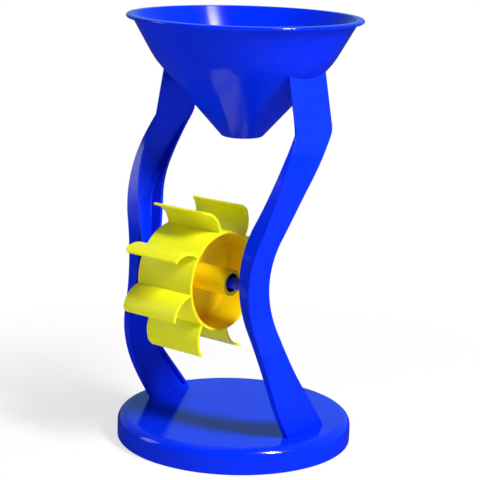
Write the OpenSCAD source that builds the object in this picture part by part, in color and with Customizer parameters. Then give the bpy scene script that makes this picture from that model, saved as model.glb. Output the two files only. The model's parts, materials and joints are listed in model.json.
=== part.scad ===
// Sand wheel toy: a hopper on two bowed channel legs drops sand on a bladed wheel.
// The origin is the middle of the base's underside, +Z is up, and the axle lies along X.
// The legs stand on the X axis and bow towards -Y, so that sand falls on the wheel's rear side.

/* [Overall] */
// Height from the ground to the top of the hopper
total_h = 300; // [285:1:320]
// General wall of the blue mouldings
wall = 2.2; // [1.8:0.1:2.6]
// Gap left between pieces that plug together
seat_gap = 0.2; // [0.1:0.05:0.3]

/* [Base] */
// Diameter of the base
base_d = 166.4; // [160:0.4:180]
// Height of the base
base_h = 17.8; // [16:0.2:20]
// Radius of the large rounding round the top of the base
base_edge_r = 6.5; // [4:0.5:8]
// Radius of the small rounding at the foot of the base's side
base_foot_r = 1.2; // [0.8:0.1:1.6]
// Thickness of the ribs under the base
rib_t = 1.8; // [1.4:0.1:2.2]
// Radius of the post in the middle of the underside
post_r = 8; // [6:0.5:10]
// Number of radial ribs under the base
rib_count = 12; // [8:4:16]
// Number of ring ribs under the base
ring_count = 3; // [2:1:4]

/* [Hopper] */
// Diameter over the lip of the hopper
rim_d = 162.4; // [156:0.2:170]
// Width of the flat lip outside the cone
lip_w = 4.2; // [3.6:0.2:5.4]
// Thickness of the lip
lip_t = 2.5; // [2:0.1:3.5]
// Depth of the steep collar under the lip
collar_h = 27.5; // [25:0.5:30]
// Slope of the collar, measured from the vertical
collar_slope = 29.4; // [28:0.1:31]
// Slope of the cone, measured from the vertical
cone_slope = 42; // [40:0.1:44]
// Radius that blends the collar into the cone
shoulder_r = 50; // [30:5:60]
// Radius of the flat end of the cone
outlet_r = 14; // [12:0.2:16]
// Rounding round the flat end of the cone
outlet_edge_r = 2; // [1:0.2:2.6]
// Radius of the hole that the sand runs through
outlet_hole_r = 6; // [4.5:0.5:7]
// Width of the ears that carry the tops of the legs
ear_w = 30; // [26:1:33]
// Thickness of the ears
ear_t = 2.4; // [2:0.1:3]
// Length of the ears below the seam between leg and cone
ear_drop = 12; // [9:1:14]
// Height to which the ears run up into the wall of the cone
ear_rise = 4; // [3:0.5:6]

/* [Legs] */
// Width of a leg at the hopper and at the foot
leg_w = 40; // [38:0.5:43]
// Width of a leg at the axle
leg_waist_w = 22; // [20:0.5:24]
// Radius of the bow along the near edge
near_r = 172; // [162:1:182]
// Slope at both ends of the near bow
near_sweep = 32.5; // [30:0.5:35]
// Radius of the bow along the far edge
far_r = 111; // [104:1:118]
// Slope at both ends of the far bow
far_sweep = 39.2; // [37:0.1:41]
// Rounding of the knee on the far edge
knee_r = 10; // [6:1:16]
// Height of the deepest point of the bow
bow_z = 122.8; // [119:0.2:126]
// Half distance over the outer faces at the axle
outer_waist_x = 53.9; // [52:0.1:55.5]
// Half distance over the outer faces at their widest
outer_peak_x = 65.7; // [64.5:0.1:67]
// Half distance between the flange edges at the axle
inner_waist_x = 45.3; // [44:0.1:47]
// Height of the waist of the flanges above the axle
flange_rise = 8; // [4:0.5:10]
// Radius of the waist in the front view
waist_r = 100; // [92:1:108]
// Radius of the swells above and below the waist
swell_r = 130; // [120:1:140]
// Lean of the leg's top towards the middle
end_lean = 11.3; // [10:0.1:12.5]
// Lean of the leg's foot towards the middle
foot_lean = 2.5; // [1:0.1:5]
// Depth of the channel where it runs out at both ends
channel_end = 4.4; // [3.6:0.1:5.2]

/* [Feet] */
// Thickness of the floor that closes the foot of a leg
foot_t = 3; // [2:0.5:4]
// Length of the tongue that plugs into the base
tongue_l = 8; // [6:0.5:9]
// Thickness of the tongue
tongue_t = 3.4; // [3:0.1:3.7]
// Width of the tongue
tongue_w = 26; // [22:1:28]
// Reach of the snap catches on the tongue
catch_out = 0.8; // [0.5:0.1:1]
// Width of the snap catches
catch_w = 10; // [6:1:14]

/* [Axle] */
// Height of the axle above the ground
axle_z = 125.8; // [123:0.2:128]
// Distance of the axle in front of the hopper's outlet
axle_offset = 43.6; // [42:0.2:45]
// Radius of the axle
axle_r = 2.5; // [2.2:0.1:3]
// Running clearance between the axle and the hub's bore
running_gap = 0.06; // [0.02:0.01:0.09]
// Radius of the spigots that hold the ends of the axle
spigot_r = 4.2; // [3.8:0.1:4.6]
// Radius of a spigot's flared root on the leg
spigot_root_r = 7.5; // [6:0.5:9]
// Play between a spigot and the bottom of the hub's recess
end_play = 0.6; // [0.4:0.1:1]
// Wall left between the end of the axle and the outer face of the leg
blind_wall = 3; // [2.4:0.2:4]

/* [Wheel] */
// Number of blades
blade_count = 8; // [6:1:10]
// Radius over the tips of the blades
tip_r = 52.6; // [51:0.2:55]
// Outer radius of the drum
drum_r = 34.2; // [32:0.2:36]
// Width of the wheel over the drum
wheel_w = 47; // [44:0.2:50]
// Thickness of a blade
blade_t = 1.7; // [1.4:0.1:2.2]
// Distance of the blades' side edges inside the ends of the drum
blade_inset = 0.4; // [0.3:0.1:1]
// Angle through which a blade curls from its root to its tip
blade_curl = 75; // [60:1:80]
// Direction of the root of the first blade with its rounded corner on the left, up from the rear
blade_start = 142.5; // [130:0.5:154]
// Radius of the one rounded corner of each blade
blade_corner_r = 5; // [3:0.5:6]
// Thickness of the drum's wall
drum_t = 1.8; // [1.5:0.1:2.4]
// Thickness of the web between the hub and the drum
web_t = 2; // [1.6:0.1:3]
// Outer radius of the hub
hub_r = 9; // [8:0.5:10]
// Reach of the hub beyond each side of the drum
hub_out = 7; // [5:0.5:9]
// Radius of the recess in each end of the hub
mouth_r = 6.2; // [5.4:0.1:6.6]
// Depth of the recess in each end of the hub
mouth_d = 4; // [3:0.5:5]

/* [Hidden] */
$fn = 96;
// Segments of the long arcs in the legs
long_fn = 240;
// Length by which a cutting shape runs past what it cuts
overrun = 1;
// Depth by which an arc crosses the line or arc that it runs into
crossing = 0.05;
blue = [0.03, 0.2, 0.95];
yellow = [0.85, 0.88, 0.08];

base_r = base_d / 2;
rim_r = rim_d / 2;
leg_half = leg_w / 2;
axle_y = -axle_offset;

// Hopper, from the lip down to the outlet
lip_z = total_h - lip_t;
collar_r = rim_r - lip_w;
shoulder_z = lip_z - collar_h;
cone_top_r = collar_r - collar_h * tan(collar_slope);
outlet_z = shoulder_z - (cone_top_r - outlet_r) / tan(cone_slope);

// Side view of a leg: its two edges are arcs that bow towards -Y
near_c = axle_y - leg_waist_w / 2 + near_r;
far_c = axle_y + leg_waist_w / 2 + far_r;

// Front view of a leg: the outer face and the edges of the flanges
flange_peak_x = outer_peak_x - channel_end;
flange_swell_r = swell_r - channel_end;
outer_dz = swell_dz(outer_waist_x, outer_peak_x, swell_r);

// Seam between the outer face of a leg and the cone, at the middle of the leg
seam_z = (end_x(0, 1) - cone_top_r + shoulder_z * tan(cone_slope)) / (tan(cone_slope) + tan(end_lean));
ear_inset = wall / cos(end_lean) + seat_gap;

// Middle of a leg's foot
foot_x = end_x(base_h, -1) - channel_end / 2;

// Axle and wheel
hub_half = wheel_w / 2 + hub_out;
spigot_tip = hub_half - mouth_d + end_play;
axle_half = outer_waist_x - blind_wall;
// Direction of the mould's parting line round a spigot
spigot_seam = 33;
bore_r = axle_r + running_gap;
blade_half_w = wheel_w / 2 - blade_inset;
blade_arc = blade_arc_r(tip_r, drum_r, blade_curl);

// Height of a swell's centre above or below the axle, where it blends into the waist
function swell_dz(waist_x, peak_x, r) =
    sqrt(pow(waist_r + r - crossing, 2) - pow(waist_x + waist_r - peak_x + r, 2));

// Outer face of a leg's straight end at height z, with side 1 for the top and -1 for the foot
function end_x(z, side) =
    let (
        slope = side > 0 ? end_lean : foot_lean,
        lean_z = axle_z + side * (outer_dz + (swell_r - crossing) * sin(slope)),
        lean_x = outer_peak_x - swell_r + (swell_r - crossing) * cos(slope)
    )
    lean_x - side * (z - lean_z) * tan(slope);

// Radius of an arc that leaves the drum squarely and reaches the tip after its curl
function blade_arc_r(tip, drum, curl) =
    let (
        square = pow(sin(curl), 2) + pow(1 - cos(curl), 2),
        half_slope = drum * sin(curl)
    )
    (sqrt(pow(half_slope, 2) + square * (tip * tip - drum * drum)) - half_slope) / square;

// Point at a distance from another, in a direction
function arc_point(centre, r, angle) = centre + r * [cos(angle), sin(angle)];

// Cuts the rounding off a convex corner of an outline that turns left, for use in a difference
module corner_sliver(corner, arrival, turn, r) {
    run = r * tan(turn / 2);
    inward = arrival + turn / 2 + 90;
    difference() {
        polygon([
            arc_point(corner, -run, arrival),
            arc_point(corner, -overrun, inward),
            arc_point(corner, run, arrival + turn)
        ]);
        translate(arc_point(corner, r / cos(turn / 2) + crossing, inward)) circle(r, $fn = long_fn);
    }
}

// All that lies behind a bowed edge in the side view, measured from the height of the bow:
// an arc, a slope at each end of it, and a straight run up or down at the leg's full width
module behind_edge(centre, r, sweep, edge) {
    slope = arc_point([centre, 0], r - crossing, 180 - sweep);
    knee_dz = slope.y + (edge - slope.x) / tan(sweep);
    translate([centre, 0]) circle(r, $fn = long_fn);
    for (side = [0, 1]) mirror([0, side])
        polygon([slope, [edge, knee_dz], [edge, total_h], [centre, total_h], [centre, slope.y]]);
}

// Side view of a leg, drawn in by an inset on both edges
module side_band(inset) {
    edge = leg_half - inset;
    far_arc_r = far_r + inset;
    slope_r = far_arc_r - crossing;
    knee_dz = slope_r * sin(far_sweep) + (edge - far_c + slope_r * cos(far_sweep)) / tan(far_sweep);
    translate([0, bow_z]) difference() {
        intersection() {
            behind_edge(near_c, near_r - inset, near_sweep, -edge);
            translate([-base_r, -bow_z]) square([base_r + edge, lip_z]);
        }
        behind_edge(far_c, far_arc_r, far_sweep, edge);
        for (side = [0, 1]) mirror([0, side])
            corner_sliver([edge, knee_dz], 90 - far_sweep, far_sweep, knee_r - inset);
    }
}

// Front view of all that lies inside a waisted outline, measured from the height of the axle:
// the waist's hollow arc, a swell above and below it, and a straight leaning end on each
module front_inside(waist_x, peak_x, r, inset) {
    swell = [peak_x - r, swell_dz(waist_x, peak_x, r)];
    waist_c = waist_x + waist_r;
    hip = arc_point(swell, r - inset, -atan2(swell.y, waist_c - swell.x));
    difference() {
        union() {
            translate([0, -hip.y]) square([waist_c, 2 * hip.y]);
            for (side = [0, 1]) mirror([0, side]) {
                slope = side == 0 ? end_lean : foot_lean;
                lean = arc_point(swell, r - inset - crossing, slope);
                translate(swell) circle(r - inset, $fn = long_fn);
                polygon([
                    [0, swell.y],
                    lean,
                    [lean.x - (total_h - lean.y) * tan(slope), total_h],
                    [0, total_h]
                ]);
            }
        }
        translate([waist_c, 0]) circle(waist_r + inset, $fn = long_fn);
    }
}

// Carries a side view into the YZ plane and extrudes it along X over the place of one leg,
// with side 0 for the right leg and 1 for the left
module along_x(side) {
    near_x = flange_peak_x / 2;
    mirror([side, 0, 0]) translate([near_x, 0, 0]) rotate([90, 0, 90]) linear_extrude(base_r - near_x) children();
}

// Carries a front view into the XZ plane and extrudes it along Y, both ways from the middle
module along_y(half_length) {
    rotate([90, 0, 0]) linear_extrude(2 * half_length, center = true) children();
}

// The bowed channel of a leg, open towards the wheel and closed by a floor at its foot
module leg_channel(side) {
    difference() {
        intersection() {
            along_x(side) side_band(0);
            along_y(base_r) mirror([side, 0]) translate([0, axle_z]) difference() {
                front_inside(outer_waist_x, outer_peak_x, swell_r, 0);
                translate([0, flange_rise]) front_inside(inner_waist_x, flange_peak_x, flange_swell_r, 0);
            }
        }
        intersection() {
            along_x(side) side_band(wall);
            along_y(base_r) mirror([side, 0]) translate([0, axle_z])
                front_inside(outer_waist_x, outer_peak_x, swell_r, wall);
            translate([-base_r, -base_r, base_h + foot_t]) cube([base_d, base_d, total_h]);
        }
    }
}

// Tongue under the right leg's foot, with a snap catch on each face below the base's top wall
module tongue() {
    catch_z = -wall - seat_gap;
    catch_tip_x = tongue_t / 2 + catch_out;
    translate([foot_x, 0, base_h]) {
        translate([-tongue_t / 2, -tongue_w / 2, -tongue_l]) cube([tongue_t, tongue_w, tongue_l + foot_t / 2]);
        along_y(catch_w / 2) polygon([
            [-catch_tip_x, catch_z],
            [-tongue_t / 2, -tongue_l],
            [tongue_t / 2, -tongue_l],
            [catch_tip_x, catch_z]
        ]);
    }
}

// Puts a shape that is drawn along +Z onto the axle, along +X
module on_axle() {
    translate([0, axle_y, axle_z]) rotate([90, 0, 90]) children();
}

// Spigot of the right leg, flared where it leaves the channel
module spigot() {
    web_x = outer_waist_x - wall / 2;
    on_axle() rotate(spigot_seam) {
        translate([0, 0, spigot_tip]) cylinder(r = spigot_r, h = web_x - spigot_tip);
        translate([0, 0, inner_waist_x]) cylinder(r1 = spigot_r, r2 = spigot_root_r, h = web_x - inner_waist_x);
    }
}

// Half section of the hopper's outside, grown sideways and downwards by a gap
module hopper_outline(gap) {
    grown_outlet = [outlet_r + gap, outlet_z - gap];
    grown_shoulder = [cone_top_r + gap, shoulder_z - gap];
    difference() {
        polygon([
            [0, grown_outlet.y],
            grown_outlet,
            grown_shoulder,
            [collar_r + gap, lip_z - gap],
            [collar_r + gap, total_h],
            [0, total_h]
        ]);
        corner_sliver(grown_outlet, 0, 90 - cone_slope, outlet_edge_r);
        corner_sliver(grown_shoulder, 90 - cone_slope, cone_slope - collar_slope, shoulder_r);
    }
}

// Half section of the bowl, one wall inside the hopper's outside
module bowl_outline() {
    floor_z = outlet_z + wall;
    side_dx = wall / cos(cone_slope);
    turn = cone_slope - collar_slope;
    shoulder = arc_point([cone_top_r, shoulder_z], wall / cos(turn / 2), 180 - (cone_slope + collar_slope) / 2);
    floor_r = outlet_r + wall * tan(cone_slope) - side_dx;
    brim_r = shoulder.x + (total_h - shoulder.y) * tan(collar_slope);
    difference() {
        polygon([[0, floor_z], [floor_r, floor_z], shoulder, [brim_r, total_h], [0, total_h]]);
        corner_sliver(shoulder, 90 - cone_slope, turn, shoulder_r - wall);
    }
}

// One ear of the hopper, lying against the inside of the right leg's channel
module ear() {
    low_z = seam_z - ear_drop;
    high_z = seam_z + ear_rise;
    face_low = end_x(low_z, 1) - ear_inset;
    face_high = end_x(high_z, 1) - ear_inset;
    along_y(ear_w / 2) polygon([
        [face_low - ear_t, low_z],
        [face_low, low_z],
        [face_high, high_z],
        [face_high - ear_t, high_z]
    ]);
}

// One blade, drawn with its root in the drum's wall at angle 0 and curling up to its tip
module blade_outline() {
    outer_r = blade_arc + blade_t / 2;
    inner_r = blade_arc - blade_t / 2;
    root_turn = -90 - asin(drum_t / 2 / blade_arc);
    tip_turn = blade_curl - 90;
    reach = 2 * outer_r;
    translate([drum_r, blade_arc]) {
        difference() {
            circle(outer_r);
            circle(inner_r);
            polygon([
                [0, 0],
                arc_point([0, 0], reach, root_turn),
                [-reach, -reach],
                [-reach, reach],
                [reach, reach],
                arc_point([0, 0], reach, tip_turn)
            ]);
        }
        translate(arc_point([0, 0], blade_arc, tip_turn)) circle(blade_t / 2 + crossing);
    }
}

// What the rounded corner of a blade's tip leaves out, at the upper side edge of the blade
module blade_corner() {
    tip = arc_point([drum_r, blade_arc], blade_arc, blade_curl - 90);
    corner_y = tip.y + blade_t / 2 - blade_corner_r;
    corner_z = blade_half_w - blade_corner_r;
    rotate([90, 0, 90]) translate([corner_y, corner_z, tip.x - blade_corner_r])
        linear_extrude(2 * blade_corner_r) difference() {
            square(blade_corner_r + overrun);
            circle(blade_corner_r + 2 * crossing);
        }
}

module base() {
    cavity_r = base_r - wall;
    cavity_h = base_h - wall;
    cavity_edge_r = base_edge_r - wall;
    ring_step = (cavity_r - post_r) / (ring_count + 1);
    pocket_t = tongue_t + 2 * (catch_out + seat_gap);
    slot_w = tongue_w + 2 * seat_gap;
    color(blue) difference() {
        union() {
            rotate_extrude($fn = long_fn) difference() {
                union() {
                    square([base_r - base_foot_r, base_h - base_edge_r]);
                    translate([0, base_foot_r]) square([base_r, base_h - base_edge_r - base_foot_r]);
                    square([base_r - base_edge_r, base_h]);
                    translate([base_r - base_foot_r, base_foot_r]) circle(base_foot_r);
                    translate([base_r - base_edge_r, base_h - base_edge_r]) circle(base_edge_r);
                }
                translate([0, -overrun]) square([cavity_r, cavity_h - cavity_edge_r + overrun]);
                square([cavity_r - cavity_edge_r, cavity_h]);
                translate([cavity_r - cavity_edge_r, cavity_h - cavity_edge_r]) circle(cavity_edge_r);
            }
            cylinder(r = post_r, h = cavity_h);
            for (i = [1:ring_count]) difference() {
                cylinder(r = post_r + i * ring_step, h = cavity_h);
                translate([0, 0, -overrun]) cylinder(r = post_r + i * ring_step - rib_t, h = base_h);
            }
            for (i = [0:rib_count - 1]) rotate((i + 1 / 2) * 360 / rib_count)
                translate([0, -rib_t / 2, 0]) cube([cavity_r, rib_t, cavity_h - cavity_edge_r]);
            for (side = [-1, 1]) translate([side * foot_x - pocket_t / 2 - wall, -slot_w / 2 - wall, 0])
                cube([pocket_t + 2 * wall, slot_w + 2 * wall, cavity_h]);
        }
        for (side = [-1, 1]) translate([side * foot_x, 0, 0]) {
            translate([-tongue_t / 2 - seat_gap, -slot_w / 2, 0])
                cube([tongue_t + 2 * seat_gap, slot_w, base_h + overrun]);
            translate([-pocket_t / 2, -slot_w / 2, -overrun]) cube([pocket_t, slot_w, cavity_h + overrun]);
        }
    }
}

// A whole leg, with side 0 for the right leg and 1 for the left
module leg(side) {
    color(blue) difference() {
        union() {
            difference() {
                leg_channel(side);
                translate([-base_r, -base_r, -overrun]) cube([base_d, base_d, base_h + seat_gap + overrun]);
            }
            mirror([side, 0, 0]) {
                tongue();
                spigot();
            }
        }
        rotate_extrude($fn = long_fn) hopper_outline(seat_gap);
        mirror([side, 0, 0]) on_axle() translate([0, 0, spigot_tip - overrun])
            cylinder(r = bore_r, h = axle_half + seat_gap - spigot_tip + overrun);
    }
}

module right_leg() {
    leg(0);
}

module left_leg() {
    leg(1);
}

module hopper() {
    color(blue) difference() {
        union() {
            rotate_extrude($fn = long_fn) {
                hopper_outline(0);
                translate([0, lip_z]) square([rim_r - lip_t / 2, lip_t]);
                translate([rim_r - lip_t / 2, lip_z + lip_t / 2]) circle(lip_t / 2);
            }
            ear();
            mirror([1, 0, 0]) ear();
        }
        rotate_extrude($fn = long_fn) bowl_outline();
        translate([0, 0, outlet_z - overrun]) cylinder(r = outlet_hole_r, h = wall + 2 * overrun);
    }
}

module axle() {
    color(blue) on_axle() translate([0, 0, -axle_half]) cylinder(r = axle_r, h = 2 * axle_half);
}

module wheel() {
    hub_w = 2 * hub_half;
    color(yellow) on_axle() difference() {
        union() {
            difference() {
                cylinder(r = drum_r, h = wheel_w, center = true);
                cylinder(r = drum_r - drum_t, h = wheel_w + overrun, center = true);
            }
            cylinder(r = drum_r - drum_t / 2, h = web_t, center = true);
            cylinder(r = hub_r, h = hub_w, center = true);
            for (i = [0:blade_count - 1]) rotate(blade_start + i * 360 / blade_count) difference() {
                linear_extrude(2 * blade_half_w, center = true) blade_outline();
                mirror([0, 0, i < blade_count / 2 ? 1 : 0]) blade_corner();
            }
        }
        cylinder(r = bore_r, h = hub_w + overrun, center = true);
        for (side = [0, 1]) mirror([0, 0, side])
            translate([0, 0, hub_half - mouth_d]) cylinder(r = mouth_r, h = mouth_d + overrun);
    }
}

base();
left_leg();
right_leg();
hopper();
axle();
wheel();
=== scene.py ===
"""Dresses the packed sand wheel toy in its plastics and sets it in a plain studio."""
import json
import math

import bpy
from bpy.props import FloatProperty, FloatVectorProperty, PointerProperty
from mathutils import Matrix, Vector


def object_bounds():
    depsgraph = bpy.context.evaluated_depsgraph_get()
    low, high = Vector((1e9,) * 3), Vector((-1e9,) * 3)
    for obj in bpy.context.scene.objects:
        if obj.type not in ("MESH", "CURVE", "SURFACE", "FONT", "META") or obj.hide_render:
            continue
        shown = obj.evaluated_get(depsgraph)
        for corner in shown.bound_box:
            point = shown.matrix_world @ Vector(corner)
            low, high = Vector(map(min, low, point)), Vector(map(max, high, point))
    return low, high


bl_info = {
    "name": "Sand Wheel Toy",
    "version": (1, 0, 0),
    "blender": (4, 5, 0),
    "location": "3D View > Sidebar > Sand Wheel",
    "description": "Gives a sand wheel toy its moulded plastics and a plain studio",
    "category": "Object",
}

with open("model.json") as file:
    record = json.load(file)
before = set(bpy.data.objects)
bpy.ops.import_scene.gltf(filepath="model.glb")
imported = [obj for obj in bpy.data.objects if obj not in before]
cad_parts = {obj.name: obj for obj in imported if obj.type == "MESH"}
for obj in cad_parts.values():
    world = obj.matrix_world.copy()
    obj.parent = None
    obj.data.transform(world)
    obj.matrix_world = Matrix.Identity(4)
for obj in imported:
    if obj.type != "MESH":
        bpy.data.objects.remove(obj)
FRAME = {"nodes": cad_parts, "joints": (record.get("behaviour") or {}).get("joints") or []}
CAD_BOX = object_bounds()
AXLE_SPOT = FRAME["joints"][0]["pos_m"]
TOY_MIDDLE = (0.0, 0.0, CAD_BOX[1][2] / 2)
WHITE = (1.0, 1.0, 1.0, 1.0)

# Finish that both plastics share
PLASTIC_IOR = 1.46
PLASTIC_SPECULAR = 0.35
FLOW_DETAIL = 3.0
FLOW_DISTORTION = 0.6
FLOW_RANGE = (0.3, 0.62)
POLISH_SCALE = 90.0
POLISH_DETAIL = 2.0
POLISH_RANGE = (0.3, 0.7)
POLISH_SHARES = (0.85, 1.2)
GRAIN_SCALE = 1400.0
GRAIN_DETAIL = 1.0
GRAIN_DEPTH = 0.00004
EDGE_SAMPLES = 4

# Flow marks and grain of each plastic
STAND_FLOW_SCALE = 14.0
STAND_GRAIN = 0.25
WHEEL_FLOW_SCALE = 18.0
WHEEL_GRAIN = 0.4

# Light that passes through the yellow plastic
GLOW_WEIGHT = 0.6
GLOW_RADIUS = (1.0, 0.35, 0.03)
GLOW_DEPTH = 0.003

# Distances from the axle within which light and shade are painted: the drum's inside gets a deeper, cloudy
# orange for its shade and the glow through its walls, and the hub's mouths get a near black for their
# shade
DRUM_PAINT_REACH = (0.03405, 0.03413)
# Painted shade and painted glow inside the drum, cloudy between these two oranges
DRUM_PAINTED_SHADES = ((0.85, 0.54, 0.002, 1.0), (0.85, 0.72, 0.004, 1.0))
DRUM_CLOUD_SCALE = 30.0
DRUM_CLOUD_DETAIL = 2.0
MOUTH_PAINT_REACH = (0.0062, 0.0065)
# Painted shade: near black in the hub's mouths
MOUTH_PAINTED_SHADE = (0.02, 0.016, 0.002, 1.0)

# Camera that matches the frame of the photo
PHOTO_PX = 480
SENSOR_MM = 36.0
VIEW_END = 50.0

# White floor, whose share of plain white rises with the distance from the toy
FLOOR_COLOUR = (0.9, 0.9, 0.9, 1.0)
FLOOR_ROUGHNESS = 0.9
FLOOR_IN_GLOSS = 0.04
SHADOW_REACH = (0.09, 0.4)
SHADOW_WHITE_SHARE = 0.7

# Even fill, and the cooler backdrop that only the gloss shows
FILL_LEVEL = 0.13
FILL_TINT = (1.0, 0.98, 0.95, 1.0)
BACKDROP_TINT = (0.45, 0.88, 1.0, 1.0)
BACKDROP_TURN = math.radians(75)
BACKDROP_SPREAD = (-0.6, 0.8)
BACKDROP_LEVELS = (0.0, 0.425)

# Soft rectangular lamps
LAMPS = {
    "key_lamp": {"spot": (1.32, -0.12, 1.37), "width": 0.3, "height": 0.7, "power": 50.0},
    "fill_lamp": {"spot": (-1.35, -1.05, 0.71), "width": 0.5, "height": 0.9, "power": 6.0},
}


def colour_property(name, description, default):
    return FloatVectorProperty(
        name=name, description=description, default=default, size=3, min=0.0, max=1.0, subtype="COLOR"
    )


class SandWheelPlastics(bpy.types.PropertyGroup):
    """Colours and finish of the two plastics."""

    stand: colour_property("Stand", "Colour of the blue mouldings", (0.0005, 0.024, 0.78))
    stand_deep: colour_property("Stand depths", "Blue of the darker flow marks", (0.0005, 0.018, 0.7))
    wheel: colour_property("Wheel", "Colour of the yellow wheel", (0.78, 0.82, 0.012))
    wheel_deep: colour_property("Wheel depths", "Yellow of the darker flow marks", (0.74, 0.74, 0.008))
    stand_roughness: FloatProperty(
        name="Stand roughness", description="Roughness of the polished blue plastic",
        default=0.13, min=0.0, max=1.0, subtype="FACTOR",
    )
    wheel_roughness: FloatProperty(
        name="Wheel roughness", description="Roughness of the yellow plastic",
        default=0.42, min=0.0, max=1.0, subtype="FACTOR",
    )
    edge_radius: FloatProperty(
        name="Edge radius", description="Soft radius that catches light on moulded edges",
        default=0.0005, min=0.0, max=0.003, unit="LENGTH", subtype="DISTANCE",
    )


class SandWheelStudio(bpy.types.PropertyGroup):
    """Place of the camera and size of the floor."""

    azimuth: FloatProperty(
        name="Azimuth", description="Direction of the camera round the toy",
        default=math.radians(39.063), unit="ROTATION", subtype="ANGLE",
    )
    tilt: FloatProperty(
        name="Tilt", description="How far the camera looks down",
        default=math.radians(12.832), unit="ROTATION", subtype="ANGLE",
    )
    roll: FloatProperty(
        name="Roll", description="Turn of the camera about its own line of sight",
        default=math.radians(1.696), unit="ROTATION", subtype="ANGLE",
    )
    distance: FloatProperty(
        name="Distance", description="Level distance from the camera to the toy's middle",
        default=1.14, unit="LENGTH", subtype="DISTANCE",
    )
    side: FloatProperty(
        name="Side", description="How far the camera stands to the right of the toy's middle",
        default=0.00071, unit="LENGTH", subtype="DISTANCE",
    )
    height: FloatProperty(
        name="Height", description="Height of the camera above the floor",
        default=0.40306, unit="LENGTH", subtype="DISTANCE",
    )
    focal_px: FloatProperty(
        name="Focal length", description="Focal length in pixels of the photo",
        default=1668.65, subtype="PIXEL",
    )
    floor_size: FloatProperty(
        name="Floor size", description="Width of the square floor",
        default=16.0, unit="LENGTH", subtype="DISTANCE",
    )


def feed(tree, socket, value):
    """Links a node's output to a socket, or sets the socket to a plain value."""
    if isinstance(value, bpy.types.NodeSocket):
        tree.links.new(value, socket)
    else:
        socket.default_value = value


def add_node(tree, kind, options=None, inputs=None):
    """Adds a shader node, sets its options, and links or sets the inputs named by label or number."""
    node = tree.nodes.new(kind)
    for key, value in (options or {}).items():
        setattr(node, key, value)
    for label, value in (inputs or {}).items():
        feed(tree, node.inputs[label], value)
    return node


def own_place(tree):
    """Place on the piece, in the frame's own coordinates."""
    return add_node(tree, "ShaderNodeTexCoord").outputs["Object"]


def noise(tree, place, scale, detail, distortion=0.0):
    """Even noise over a place."""
    inputs = {"Vector": place, "Scale": scale, "Detail": detail, "Distortion": distortion}
    return add_node(tree, "ShaderNodeTexNoise", inputs=inputs).outputs["Fac"]


def map_range(tree, value, start, stop, low=0.0, high=1.0, curve="LINEAR"):
    """Goes from low to high while the value goes from start to stop."""
    inputs = {"Value": value, "From Min": start, "From Max": stop, "To Min": low, "To Max": high}
    return add_node(tree, "ShaderNodeMapRange", {"interpolation_type": curve}, inputs).outputs["Result"]


def maths(tree, operation, first, second):
    """Works out one number from two."""
    return add_node(tree, "ShaderNodeMath", {"operation": operation}, {0: first, 1: second}).outputs[0]


def mix_values(tree, kind, share, first, second):
    """Goes from the first value to the second as the share rises."""
    inputs = {"Factor": share, "A": first, "B": second}
    return add_node(tree, "ShaderNodeMix", {"data_type": kind}, inputs).outputs["Result"]


def moulded_plastic(name, colour, deep, roughness, edge_radius, flow_scale, grain):
    """A moulded plastic with flow marks in its colour, an uneven polish and a fine grain."""
    material = bpy.data.materials.new(name)
    material.use_nodes = True
    tree = material.node_tree
    shader = tree.nodes["Principled BSDF"]
    place = own_place(tree)

    flow = map_range(tree, noise(tree, place, flow_scale, FLOW_DETAIL, FLOW_DISTORTION), *FLOW_RANGE)
    feed(tree, shader.inputs["Base Color"], mix_values(tree, "RGBA", flow, (*deep, 1.0), (*colour, 1.0)))

    polish = noise(tree, place, POLISH_SCALE, POLISH_DETAIL)
    smooth, rough = (roughness * share for share in POLISH_SHARES)
    feed(tree, shader.inputs["Roughness"], map_range(tree, polish, *POLISH_RANGE, smooth, rough))

    edge = add_node(tree, "ShaderNodeBevel", {"samples": EDGE_SAMPLES}, {"Radius": edge_radius})
    bump = add_node(tree, "ShaderNodeBump", inputs={
        "Strength": grain,
        "Distance": GRAIN_DEPTH,
        "Height": noise(tree, place, GRAIN_SCALE, GRAIN_DETAIL),
        "Normal": edge.outputs["Normal"],
    })
    feed(tree, shader.inputs["Normal"], bump.outputs["Normal"])
    shader.inputs["IOR"].default_value = PLASTIC_IOR
    shader.inputs["Specular IOR Level"].default_value = PLASTIC_SPECULAR
    return material


def finish_nodes(names, material):
    """Puts a material on CAD nodes."""
    for name in names:
        for slot in FRAME["nodes"][name].material_slots:
            slot.material = material


def blue_plastic(plastics):
    """The stand's plastic, made once for all its pieces."""
    found = bpy.data.materials.get("stand_plastic")
    return found or moulded_plastic(
        "stand_plastic", plastics.stand, plastics.stand_deep, plastics.stand_roughness,
        plastics.edge_radius, STAND_FLOW_SCALE, STAND_GRAIN,
    )


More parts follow.
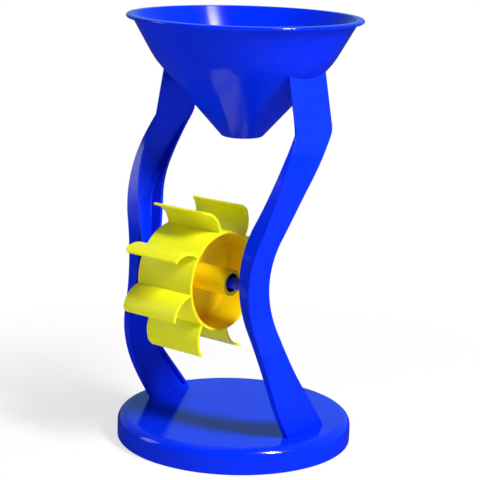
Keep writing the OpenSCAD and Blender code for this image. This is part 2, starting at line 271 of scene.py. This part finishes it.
def paint_shade_inside(material):
    """Paints shade inside the wheel: a deeper, cloudy orange inside the drum for its shade and the glow
    through its walls, and near black shade in the hub's mouths.
    """
    tree = material.node_tree
    base_colour = tree.nodes["Principled BSDF"].inputs["Base Color"]
    surface = base_colour.links[0].from_socket
    place = own_place(tree)
    to_axle = (0.0, -AXLE_SPOT[1], -AXLE_SPOT[2])
    across = add_node(tree, "ShaderNodeVectorMath", {"operation": "MULTIPLY_ADD"}, {
        0: place, 1: (0.0, 1.0, 1.0), 2: to_axle,
    })
    reach = add_node(tree, "ShaderNodeVectorMath", {"operation": "LENGTH"}, {0: across.outputs["Vector"]})
    radius = reach.outputs["Value"]
    # Painted shade and glow for the drum's inside, cloudy between two oranges
    cloud = noise(tree, place, DRUM_CLOUD_SCALE, DRUM_CLOUD_DETAIL)
    drum = mix_values(tree, "RGBA", cloud, *DRUM_PAINTED_SHADES)
    # Paints the drum's shade and glow, then the near black shade of the hub's mouths, by distance from the
    # axle
    for fade, shade in ((DRUM_PAINT_REACH, drum), (MOUTH_PAINT_REACH, MOUTH_PAINTED_SHADE)):
        share = map_range(tree, radius, *fade, 1.0, 0.0)
        surface = mix_values(tree, "RGBA", share, surface, shade)
    feed(tree, base_colour, surface)


class SANDWHEEL_OT_base(bpy.types.Operator):
    """Gives the round base its polished blue plastic"""

    bl_idname = "sandwheel.base"
    bl_label = "Finish base"

    def execute(self, context):
        finish_nodes(["base"], blue_plastic(context.scene.sand_wheel_plastics))
        return {"FINISHED"}


class SANDWHEEL_OT_legs(bpy.types.Operator):
    """Gives both channel legs their polished blue plastic"""

    bl_idname = "sandwheel.legs"
    bl_label = "Finish legs"

    def execute(self, context):
        finish_nodes(["left_leg", "right_leg"], blue_plastic(context.scene.sand_wheel_plastics))
        return {"FINISHED"}


class SANDWHEEL_OT_hopper(bpy.types.Operator):
    """Gives the hopper its polished blue plastic"""

    bl_idname = "sandwheel.hopper"
    bl_label = "Finish hopper"

    def execute(self, context):
        finish_nodes(["hopper"], blue_plastic(context.scene.sand_wheel_plastics))
        return {"FINISHED"}


class SANDWHEEL_OT_axle(bpy.types.Operator):
    """Gives the axle its polished blue plastic"""

    bl_idname = "sandwheel.axle"
    bl_label = "Finish axle"

    def execute(self, context):
        finish_nodes(["axle"], blue_plastic(context.scene.sand_wheel_plastics))
        return {"FINISHED"}


class SANDWHEEL_OT_wheel(bpy.types.Operator):
    """Gives the bladed wheel its yellow plastic"""

    bl_idname = "sandwheel.wheel"
    bl_label = "Finish wheel"

    def execute(self, context):
        plastics = context.scene.sand_wheel_plastics
        material = moulded_plastic(
            "wheel_plastic", plastics.wheel, plastics.wheel_deep, plastics.wheel_roughness,
            plastics.edge_radius, WHEEL_FLOW_SCALE, WHEEL_GRAIN,
        )
        shader = material.node_tree.nodes["Principled BSDF"]
        shader.inputs["Subsurface Weight"].default_value = GLOW_WEIGHT
        shader.inputs["Subsurface Radius"].default_value = GLOW_RADIUS
        shader.inputs["Subsurface Scale"].default_value = GLOW_DEPTH
        # Paints shade inside the drum and in the hub's mouths
        paint_shade_inside(material)
        finish_nodes(["wheel"], material)
        return {"FINISHED"}


def place_camera(studio):
    """Sets the camera where the photo was taken from."""
    turn = Matrix.Rotation(studio.azimuth, 3, "Z")
    ahead = Vector((0.0, math.cos(studio.tilt), -math.sin(studio.tilt)))
    level = Vector((1.0, 0.0, 0.0))
    rise = Vector((0.0, math.sin(studio.tilt), math.cos(studio.tilt)))
    right = turn @ (level * math.cos(studio.roll) + rise * math.sin(studio.roll))
    up = turn @ (rise * math.cos(studio.roll) - level * math.sin(studio.roll))
    back = turn @ -ahead
    spot = turn @ Vector((studio.side, -studio.distance, studio.height))
    data = bpy.data.cameras.new("photo_camera")
    data.sensor_width = SENSOR_MM
    data.lens = studio.focal_px * SENSOR_MM / PHOTO_PX
    data.clip_end = VIEW_END
    camera = bpy.data.objects.new("photo_camera", data)
    bpy.context.scene.collection.objects.link(camera)
    camera.matrix_world = Matrix((
        (right.x, up.x, back.x, spot.x),
        (right.y, up.y, back.y, spot.y),
        (right.z, up.z, back.z, spot.z),
        (0.0, 0.0, 0.0, 1.0),
    ))
    bpy.context.scene.camera = camera


def add_lamp(name, spot, width, height, power):
    """Adds a soft rectangular lamp that points at the toy's middle."""
    data = bpy.data.lights.new(name, "AREA")
    data.shape = "RECTANGLE"
    data.size = width
    data.size_y = height
    data.energy = power
    lamp = bpy.data.objects.new(name, data)
    bpy.context.scene.collection.objects.link(lamp)
    lamp.location = spot
    lamp.rotation_euler = (Vector(TOY_MIDDLE) - Vector(spot)).to_track_quat("-Z", "Y").to_euler()


def white_where_seen(tree, lit, white, gloss_level, white_share=1.0):
    """Shows white to the camera, a dimmer white in reflections, and the lit shader to all other light."""
    path = add_node(tree, "ShaderNodeLightPath")
    gloss = path.outputs["Is Glossy Ray"]
    seen = maths(tree, "MAXIMUM", path.outputs["Is Camera Ray"], path.outputs["Is Transmission Ray"])
    dimmed = maths(tree, "MULTIPLY", gloss, gloss_level)
    feed(tree, white.inputs["Strength"], maths(tree, "MAXIMUM", seen, dimmed))
    share = maths(tree, "MULTIPLY", seen, white_share)
    if gloss_level > 0:
        share = maths(tree, "MAXIMUM", share, gloss)
    return add_node(tree, "ShaderNodeMixShader", inputs={0: share, 1: lit.outputs[0], 2: white.outputs[0]})


def whiter_far_out(tree):
    """Share of white in the floor, which keeps the toy's shadow close by and is pure white far out."""
    distance = add_node(tree, "ShaderNodeVectorMath", {"operation": "LENGTH"}, {0: own_place(tree)})
    return map_range(
        tree, distance.outputs["Value"], *SHADOW_REACH, SHADOW_WHITE_SHARE, 1.0, curve="SMOOTHSTEP"
    )


def backdrop_level(tree, heading):
    """Strength of the backdrop, which rises as a ray turns towards a heading."""
    toward = add_node(tree, "ShaderNodeVectorMath", {"operation": "DOT_PRODUCT"}, {
        0: add_node(tree, "ShaderNodeTexCoord").outputs["Generated"],
        1: (math.cos(heading), math.sin(heading), 0.0),
    })
    return map_range(
        tree, toward.outputs["Value"], *BACKDROP_SPREAD, *BACKDROP_LEVELS, curve="SMOOTHSTEP"
    )


def light_surroundings(tree, soft, azimuth):
    """Fills evenly and dimly, and shows a cool backdrop behind the toy in its gloss."""
    gloss = add_node(tree, "ShaderNodeLightPath").outputs["Is Glossy Ray"]
    backdrop = backdrop_level(tree, azimuth + BACKDROP_TURN)
    feed(tree, soft.inputs["Strength"], mix_values(tree, "FLOAT", gloss, FILL_LEVEL, backdrop))
    feed(tree, soft.inputs["Color"], mix_values(tree, "RGBA", gloss, FILL_TINT, BACKDROP_TINT))


def floor_paper():
    """Matt paper for the floor, white to the camera apart from the toy's shadow."""
    paper = bpy.data.materials.new("studio_paper")
    paper.use_nodes = True
    tree = paper.node_tree
    shader = tree.nodes["Principled BSDF"]
    shader.inputs["Base Color"].default_value = FLOOR_COLOUR
    shader.inputs["Roughness"].default_value = FLOOR_ROUGHNESS
    white = add_node(tree, "ShaderNodeEmission", inputs={"Color": WHITE, "Strength": 1.0})
    mix = white_where_seen(tree, shader, white, FLOOR_IN_GLOSS, whiter_far_out(tree))
    feed(tree, tree.nodes["Material Output"].inputs["Surface"], mix.outputs[0])
    return paper


def lay_floor(width):
    """Lays the square floor under the toy."""
    half = width / 2
    corners = [(-half, -half, 0), (half, -half, 0), (half, half, 0), (-half, half, 0)]
    mesh = bpy.data.meshes.new("studio_floor")
    mesh.from_pydata(corners, [], [(0, 1, 2, 3)])
    mesh.materials.append(floor_paper())
    floor = bpy.data.objects.new("studio_floor", mesh)
    bpy.context.scene.collection.objects.link(floor)


def surround_with_white(azimuth):
    """Makes the world: white to the camera, and dim and soft to the toy."""
    world = bpy.data.worlds.new("studio_world")
    bpy.context.scene.world = world
    world.use_nodes = True
    tree = world.node_tree
    soft = tree.nodes["Background"]
    light_surroundings(tree, soft, azimuth)
    bright = add_node(tree, "ShaderNodeBackground", inputs={"Color": WHITE, "Strength": 1.0})
    mix = white_where_seen(tree, soft, bright, 0.0)
    feed(tree, tree.nodes["World Output"].inputs["Surface"], mix.outputs[0])


class SANDWHEEL_OT_studio(bpy.types.Operator):
    """Makes the camera, the floor, the white surroundings and the lamps"""

    bl_idname = "sandwheel.studio"
    bl_label = "Make studio"

    def execute(self, context):
        studio = context.scene.sand_wheel_studio
        place_camera(studio)
        lay_floor(studio.floor_size)
        surround_with_white(studio.azimuth)
        for name, lamp in LAMPS.items():
            add_lamp(name, **lamp)
        return {"FINISHED"}


class SANDWHEEL_PT_panel(bpy.types.Panel):
    """Lists the toy's pieces and the studio"""

    bl_label = "Sand Wheel Toy"
    bl_idname = "SANDWHEEL_PT_panel"
    bl_space_type = "VIEW_3D"
    bl_region_type = "UI"
    bl_category = "Sand Wheel"

    def draw(self, context):
        for group in (context.scene.sand_wheel_plastics, context.scene.sand_wheel_studio):
            column = self.layout.column()
            for key in group.__annotations__:
                column.prop(group, key)
        for operator in OPERATORS:
            self.layout.operator(operator.bl_idname)


OPERATORS = (
    SANDWHEEL_OT_base,
    SANDWHEEL_OT_legs,
    SANDWHEEL_OT_hopper,
    SANDWHEEL_OT_axle,
    SANDWHEEL_OT_wheel,
    SANDWHEEL_OT_studio,
)
CLASSES = (SandWheelPlastics, SandWheelStudio, *OPERATORS, SANDWHEEL_PT_panel)


def register():
    for cls in CLASSES:
        bpy.utils.register_class(cls)
    bpy.types.Scene.sand_wheel_plastics = PointerProperty(type=SandWheelPlastics)
    bpy.types.Scene.sand_wheel_studio = PointerProperty(type=SandWheelStudio)


def unregister():
    del bpy.types.Scene.sand_wheel_studio
    del bpy.types.Scene.sand_wheel_plastics
    for cls in reversed(CLASSES):
        bpy.utils.unregister_class(cls)


def main():
    register()
    bpy.context.scene.view_settings.view_transform = "Standard"
    bpy.ops.sandwheel.base()
    bpy.ops.sandwheel.legs()
    bpy.ops.sandwheel.hopper()
    bpy.ops.sandwheel.axle()
    bpy.ops.sandwheel.wheel()
    bpy.ops.sandwheel.studio()


if __name__ == "__main__":
    main()
